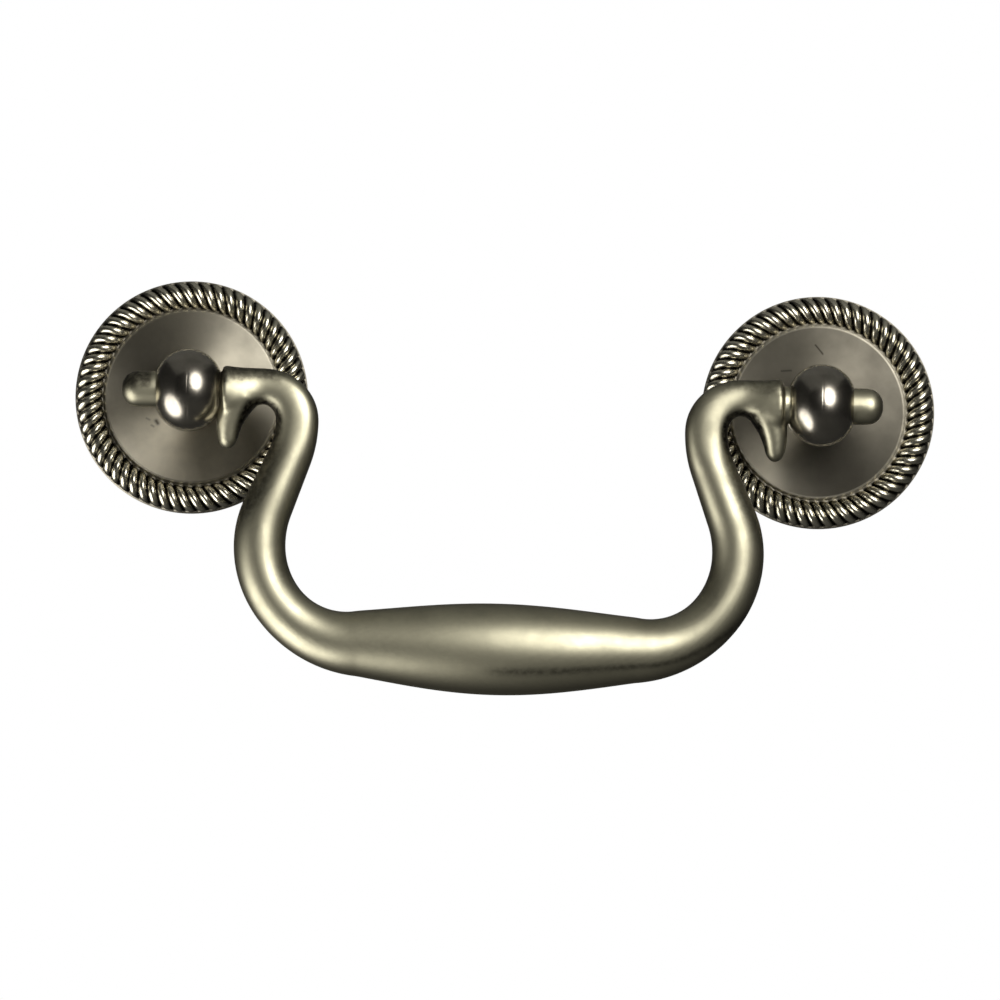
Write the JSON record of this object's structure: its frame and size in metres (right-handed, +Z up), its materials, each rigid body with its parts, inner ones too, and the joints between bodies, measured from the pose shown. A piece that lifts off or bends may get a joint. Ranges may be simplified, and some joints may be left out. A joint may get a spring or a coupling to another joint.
{
  "type": "bail pull",
  "caption": "Cabinet bail pull: a swelled bail with swan necks and clawed hooks swings on ball-headed posts that clamp roped round rosettes to the drawer front",
  "frame": {"origin": "on the plane of the drawer front, midway between the posts' screws and level with them", "axes": "+X to the right as seen from the front, -Y out of the drawer front, +Z up; the bail hangs"},
  "size_m": [0.1045, 0.019, 0.0499],
  "materials": {
    "rosette_nickel": "antique nickel, turned in fine rings, dark in the rope's valleys",
    "post_nickel": "antique nickel, polished over a dark skin",
    "bail_nickel": "antique nickel, satin, rubbed bright along the ridge"
  },
  "bodies": {
    "base": {"left_rosette": "rosette_nickel", "right_rosette": "rosette_nickel", "left_post": "post_nickel", "right_post": "post_nickel"},
    "bail": {"bail": "bail_nickel"}
  },
  "joints": [
    {"name": "bail_swing", "type": "hinge", "parent": "base", "child": "bail", "pos_m": [0, -0.0135, 0], "axis": [-1, 0, 0], "range_deg": [-15, 195]}
  ]
}
